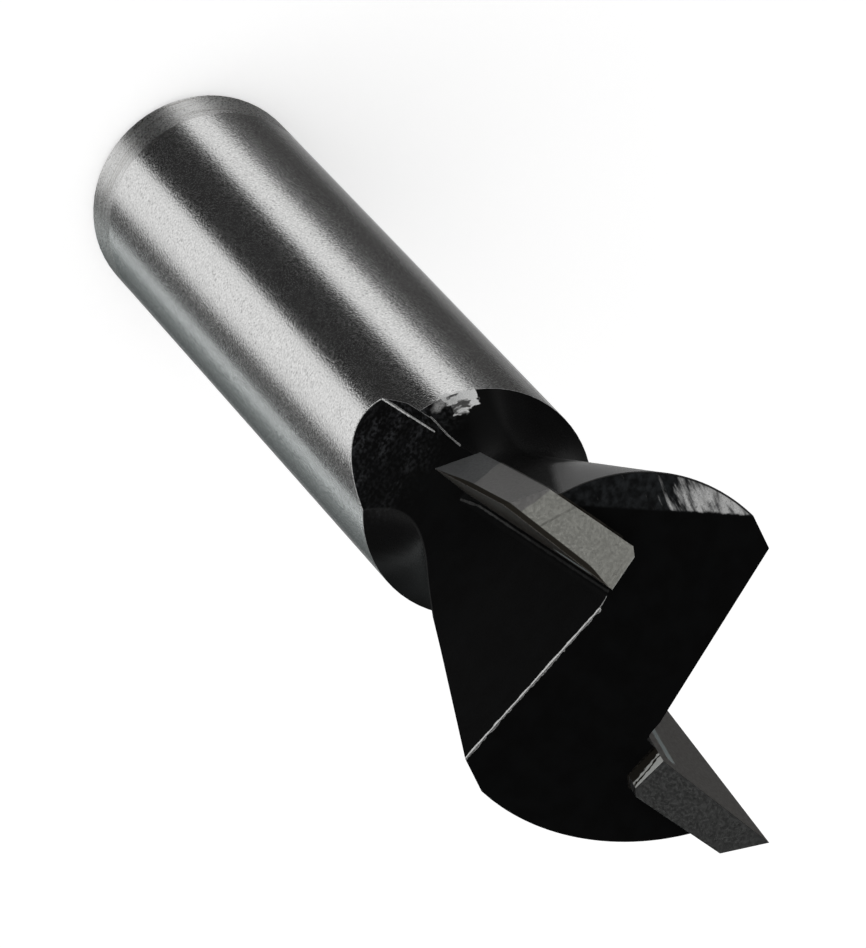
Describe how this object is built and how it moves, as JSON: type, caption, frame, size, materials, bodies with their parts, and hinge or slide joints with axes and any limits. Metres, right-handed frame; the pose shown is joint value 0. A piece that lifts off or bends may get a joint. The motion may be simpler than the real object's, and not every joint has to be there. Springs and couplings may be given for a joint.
{
  "type": "dovetail cutter",
  "caption": "Small shank-mounted dovetail cutter: plain steel shank, flared black head with opposed flutes and brazed carbide tips.",
  "frame": {"origin": "centre of the flat end of the shank, which is the bottom of the part as it stands", "axes": "+Z along the axis from the shank's flat end to the cutting end; +Y is the outward normal of one flute's floor; seen from the cutting end the cutter turns anticlockwise against the work, the usual right-hand cut"},
  "size_m": [0.0124, 0.015, 0.0492],
  "materials": {
    "body_steel": "satin ground steel shank, head painted black",
    "carbide": "fine ground tungsten carbide",
    "braze": "dull silver-bronze braze"
  },
  "bodies": {
    "root": {"cutter_body": "body_steel", "carbide_tip_a": "carbide", "carbide_tip_b": "carbide", "braze_seam_a": "braze", "braze_seam_b": "braze"}
  },
  "joints": []
}
